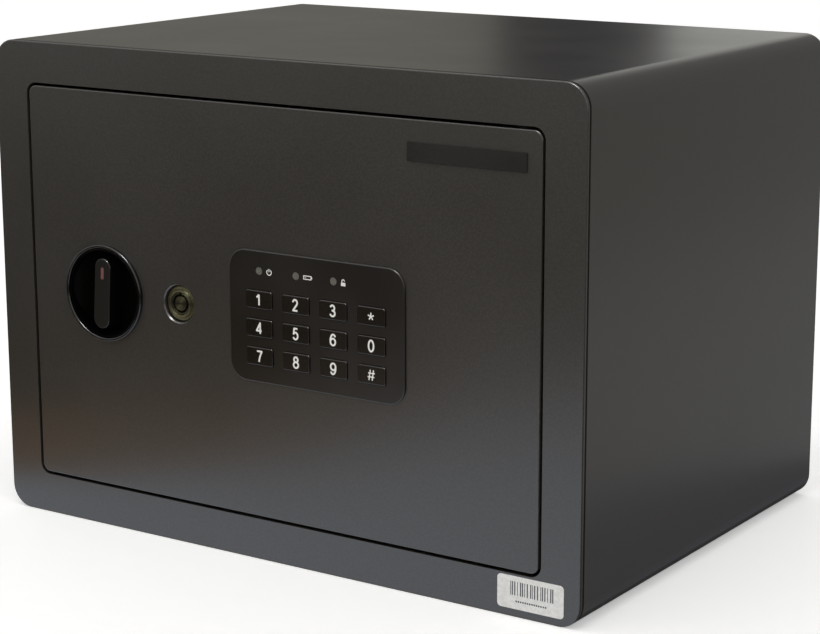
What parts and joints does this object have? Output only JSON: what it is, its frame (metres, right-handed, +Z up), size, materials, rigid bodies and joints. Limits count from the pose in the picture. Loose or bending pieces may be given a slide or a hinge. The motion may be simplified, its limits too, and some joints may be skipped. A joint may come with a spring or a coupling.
{
  "type": "furniture safe",
  "caption": "Black sheet-steel furniture safe with a flush door, recessed turning knob, key lock and keypad; sliding bolts behind the door.",
  "frame": {"origin": "centre of the flat base the safe stands on", "axes": "+Z up, -Y towards the front (the door), +X to the right seen from the front"},
  "size_m": [0.35, 0.2527, 0.25],
  "materials": {
    "painted_steel": "fine textured powder coat, satin, near black",
    "zinc_steel": "zinc plated pressed steel",
    "bright_steel": "bright nickel plated steel",
    "mat_felt": "needle felt, dark grey",
    "sticker_film": "white label film",
    "strip_lacquer": "black lacquered strip, bare",
    "ring_plastic": "satin black moulded ABS",
    "knob_plastic": "gloss black moulded ABS",
    "index_red": "faded red moulded inlay",
    "lock_nickel": "nickel plated zinc casting",
    "keypad_plastic": "brownish black moulded ABS",
    "key_plastic": "brownish black keys, white digits",
    "mat_rubber": "silicone dome mat",
    "board_laminate": "green solder mask on laminate",
    "lamp_epoxy": "grey unlit lamp",
    "inner_plastic": "black moulded ABS",
    "coil_copper": "enamelled copper winding",
    "nylon": "natural nylon",
    "cell_jacket": "plain printed film, bare of words",
    "reset_plastic": "red moulded ABS"
  },
  "bodies": {
    "cabinet": {"body_wrap": "painted_steel", "front_frame": "painted_steel", "back_panel": "painted_steel", "bolt_striker": "painted_steel", "hinge_brackets": "painted_steel", "floor_mat": "mat_felt", "info_sticker": "sticker_film"},
    "door": {"door_plate": "painted_steel", "door_case": "zinc_steel", "rear_cover": "zinc_steel", "cover_screws": "bright_steel", "hinge_lugs": "painted_steel", "hinge_pins": "bright_steel", "hinge_washers": "inner_plastic", "name_badge": "strip_lacquer", "knob_bezel": "ring_plastic", "lock_barrel": "lock_nickel", "lock_bracket": "zinc_steel", "keypad_housing": "keypad_plastic", "keypad_back": "keypad_plastic", "key_mat": "mat_rubber", "circuit_board": "board_laminate", "status_lamps": "lamp_epoxy", "buzzer": "inner_plastic", "solenoid_frame": "zinc_steel", "solenoid_coil": "coil_copper", "plunger_spring": "bright_steel", "guide_posts": "zinc_steel", "guide_clips": "zinc_steel", "bolt_bushes": "nylon", "battery_holder": "inner_plastic", "battery_cells": "cell_jacket", "battery_contacts": "bright_steel", "reset_switch": "inner_plastic"},
    "knob": {"knob_handle": "knob_plastic", "knob_index": "index_red", "knob_crank": "zinc_steel", "knob_screw": "bright_steel"},
    "bolt_work": {"bolt_carriage": "zinc_steel", "locking_bolts": "bright_steel", "bolt_screws": "bright_steel"},
    "plunger": {"solenoid_plunger": "bright_steel"},
    "lock_core": {"key_plug": "lock_nickel", "override_cam": "zinc_steel", "cam_screw": "bright_steel"},
    "button_1": {"key_1": "key_plastic"},
    "button_2": {"key_2": "key_plastic"},
    "button_3": {"key_3": "key_plastic"},
    "button_star": {"key_star": "key_plastic"},
    "button_4": {"key_4": "key_plastic"},
    "button_5": {"key_5": "key_plastic"},
    "button_6": {"key_6": "key_plastic"},
    "button_0": {"key_0": "key_plastic"},
    "button_7": {"key_7": "key_plastic"},
    "button_8": {"key_8": "key_plastic"},
    "button_9": {"key_9": "key_plastic"},
    "button_hash": {"key_hash": "key_plastic"},
    "reset": {"reset_button": "reset_plastic"},
    "battery_lid": {"battery_cover": "inner_plastic"}
  },
  "joints": [
    {"name": "door_swing", "type": "hinge", "parent": "cabinet", "child": "door", "pos_m": [0.1395, -0.117, 0.125], "axis": [0, 0, 1], "range_deg": [0, 100]},
    {"name": "knob_turn", "type": "hinge", "parent": "door", "child": "knob", "pos_m": [-0.105, -0.125, 0.1244], "axis": [0, -1, 0], "range_deg": [0, 90]},
    {"name": "bolt_slide", "type": "slide", "parent": "door", "child": "bolt_work", "axis": [-1, 0, 0], "range_m": [0, 0.017]},
    {"name": "plunger_slide", "type": "slide", "parent": "door", "child": "plunger", "axis": [0, 0, -1], "range_m": [0, 0.005], "deforming": ["plunger_spring"]},
    {"name": "key_turn", "type": "hinge", "parent": "door", "child": "lock_core", "pos_m": [-0.0565, -0.125, 0.1244], "axis": [0, 1, 0], "range_deg": [0, 90]},
    {"name": "press_1", "type": "slide", "parent": "door", "child": "button_1", "axis": [0, 1, 0], "range_m": [0, 0.0008], "stiffness_N_per_m": 800},
    {"name": "press_2", "type": "slide", "parent": "door", "child": "button_2", "axis": [0, 1, 0], "range_m": [0, 0.0008], "stiffness_N_per_m": 800},
    {"name": "press_3", "type": "slide", "parent": "door", "child": "button_3", "axis": [0, 1, 0], "range_m": [0, 0.0008], "stiffness_N_per_m": 800},
    {"name": "press_star", "type": "slide", "parent": "door", "child": "button_star", "axis": [0, 1, 0], "range_m": [0, 0.0008], "stiffness_N_per_m": 800},
    {"name": "press_4", "type": "slide", "parent": "door", "child": "button_4", "axis": [0, 1, 0], "range_m": [0, 0.0008], "stiffness_N_per_m": 800},
    {"name": "press_5", "type": "slide", "parent": "door", "child": "button_5", "axis": [0, 1, 0], "range_m": [0, 0.0008], "stiffness_N_per_m": 800},
    {"name": "press_6", "type": "slide", "parent": "door", "child": "button_6", "axis": [0, 1, 0], "range_m": [0, 0.0008], "stiffness_N_per_m": 800},
    {"name": "press_0", "type": "slide", "parent": "door", "child": "button_0", "axis": [0, 1, 0], "range_m": [0, 0.0008], "stiffness_N_per_m": 800},
    {"name": "press_7", "type": "slide", "parent": "door", "child": "button_7", "axis": [0, 1, 0], "range_m": [0, 0.0008], "stiffness_N_per_m": 800},
    {"name": "press_8", "type": "slide", "parent": "door", "child": "button_8", "axis": [0, 1, 0], "range_m": [0, 0.0008], "stiffness_N_per_m": 800},
    {"name": "press_9", "type": "slide", "parent": "door", "child": "button_9", "axis": [0, 1, 0], "range_m": [0, 0.0008], "stiffness_N_per_m": 800},
    {"name": "press_hash", "type": "slide", "parent": "door", "child": "button_hash", "axis": [0, 1, 0], "range_m": [0, 0.0008], "stiffness_N_per_m": 800},
    {"name": "press_reset", "type": "slide", "parent": "door", "child": "reset", "axis": [0, -1, 0], "range_m": [0, 0.001], "stiffness_N_per_m": 600},
    {"name": "lid_slide", "type": "slide", "parent": "door", "child": "battery_lid", "axis": [0, 0, -1], "range_m": [0, 0.06]}
  ],
  "couplings": [
    {"joint": "knob_turn", "follows": "bolt_slide", "rad_per_m": 92.39}
  ]
}
